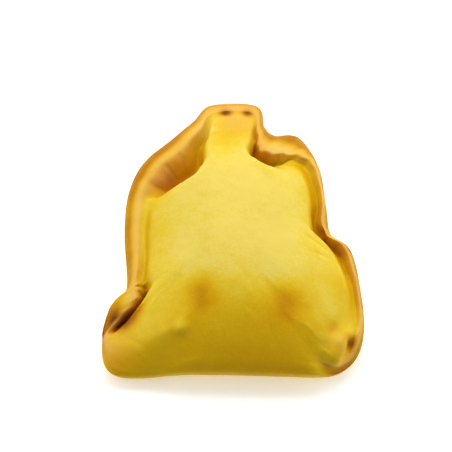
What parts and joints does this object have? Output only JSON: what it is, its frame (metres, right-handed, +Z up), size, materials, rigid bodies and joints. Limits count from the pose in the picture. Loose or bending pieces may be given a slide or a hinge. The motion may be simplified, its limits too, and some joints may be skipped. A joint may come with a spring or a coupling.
{
  "type": "empanada",
  "caption": "Baked empanada lying flat: golden dough folded over its filling, with a plump belly, a rounded fold and a sealed rim pinched inwards in places.",
  "frame": {"origin": "on the table, under the middle of the box around the empanada", "axes": "+Z up from the table, +Y from the fold towards the back lobe of the sealed rim, +X to the right as seen from the fold"},
  "size_m": [0.1098, 0.1362, 0.0306],
  "materials": {
    "baked_dough": "baked wheat dough with an egg wash, golden yellow, browner on the rim"
  },
  "bodies": {
    "root": {"empanada": "baked_dough"}
  },
  "joints": []
}
